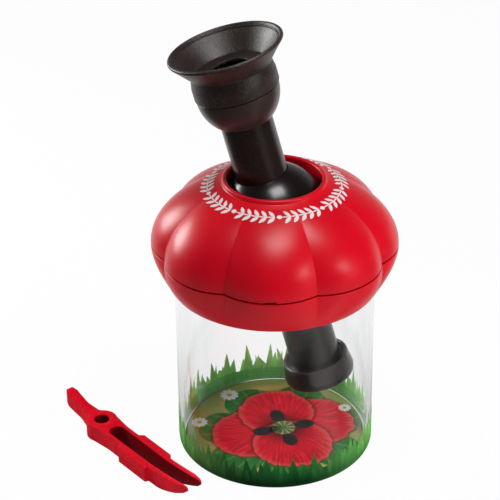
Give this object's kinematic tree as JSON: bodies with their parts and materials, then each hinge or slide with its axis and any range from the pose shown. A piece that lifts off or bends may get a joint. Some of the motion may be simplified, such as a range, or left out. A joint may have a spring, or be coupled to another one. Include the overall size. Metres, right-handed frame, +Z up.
{
  "type": "bug catcher jar",
  "caption": "Clear jar with a lobed lid, a leaning viewer tube in a swivelling ball, and a pair of plastic tweezers beside it.",
  "frame": {"origin": "centre of the jar's underside, on the table", "axes": "+Z up along the jar's axis, +X to the right and +Y to the back as seen from the front"},
  "size_m": [0.1546, 0.1127, 0.202],
  "materials": {
    "clear_jar": "clear moulded plastic, polished",
    "grass_print": "printed clear film, green grass",
    "floor_print": "printed card",
    "clear_disc": "clear sheet, polished",
    "red_lid": "moulded plastic, satin gloss",
    "black_gloss": "moulded plastic, high gloss",
    "black_satin": "moulded plastic, satin",
    "screw_steel": "zinc plated",
    "ring_rubber": "soft rubber",
    "lens_clear": "polished",
    "soft_cup": "soft rubber, matt",
    "tweezers_red": "moulded plastic, satin gloss"
  },
  "bodies": {
    "jar": {"jar_shell": "clear_jar", "grass_film": "grass_print", "floor_card": "floor_print", "floor_window": "clear_disc"},
    "lid": {"lid_lower": "red_lid", "lid_upper": "red_lid", "ball_seat": "black_satin", "lid_screws": "screw_steel"},
    "slip_ring": {"friction_ring": "ring_rubber"},
    "ball": {"ball_upper": "black_gloss", "ball_lower": "black_gloss"},
    "viewer": {"barrel_tube": "black_satin", "light_stop": "black_satin", "objective_cap": "black_satin", "objective_lens": "lens_clear", "eyepiece_bowl": "black_satin", "eye_lens": "lens_clear", "sight_ring": "black_satin", "eyecup": "soft_cup"},
    "tweezers": {"tweezers_body": "tweezers_red"},
    "arm_left": {"arm_left": "tweezers_red"},
    "arm_right": {"arm_right": "tweezers_red"}
  },
  "joints": [
    {"name": "lid_lift", "type": "slide", "parent": "jar", "child": "lid", "axis": [0, 0, 1], "range_m": [0, 0.115]},
    {"name": "viewer_swivel", "type": "hinge", "parent": "lid", "child": "slip_ring", "pos_m": [0, 0, 0.1154], "axis": [0, 0, 1], "continuous": true},
    {"name": "viewer_tilt", "type": "hinge", "parent": "slip_ring", "child": "ball", "pos_m": [0, 0, 0.1154], "axis": [0.1305, 0.9914, 0], "range_deg": [-2.75, 32.05]},
    {"name": "focus_slide", "type": "slide", "parent": "ball", "child": "viewer", "axis": [-0.2508, 0.033, 0.9675], "range_m": [-0.006, 0.02]},
    {"name": "tweezers_lift", "type": "slide", "parent": "jar", "child": "tweezers", "axis": [0, 0, 1], "range_m": [0, 0.1]},
    {"name": "arm_left_squeeze", "type": "hinge", "parent": "tweezers", "child": "arm_left", "pos_m": [-0.0763, -0.01418, 0.004], "axis": [0, 0, 1], "range_deg": [0, 3.2], "stiffness_Nm_per_rad": 0.6},
    {"name": "arm_right_squeeze", "type": "hinge", "parent": "tweezers", "child": "arm_right", "pos_m": [-0.06828, -0.00773, 0.004], "axis": [0, 0, 1], "range_deg": [-3.2, 0], "stiffness_Nm_per_rad": 0.6}
  ],
  "couplings": [
    {"joint": "arm_right_squeeze", "follows": "arm_left_squeeze", "ratio": -1}
  ]
}
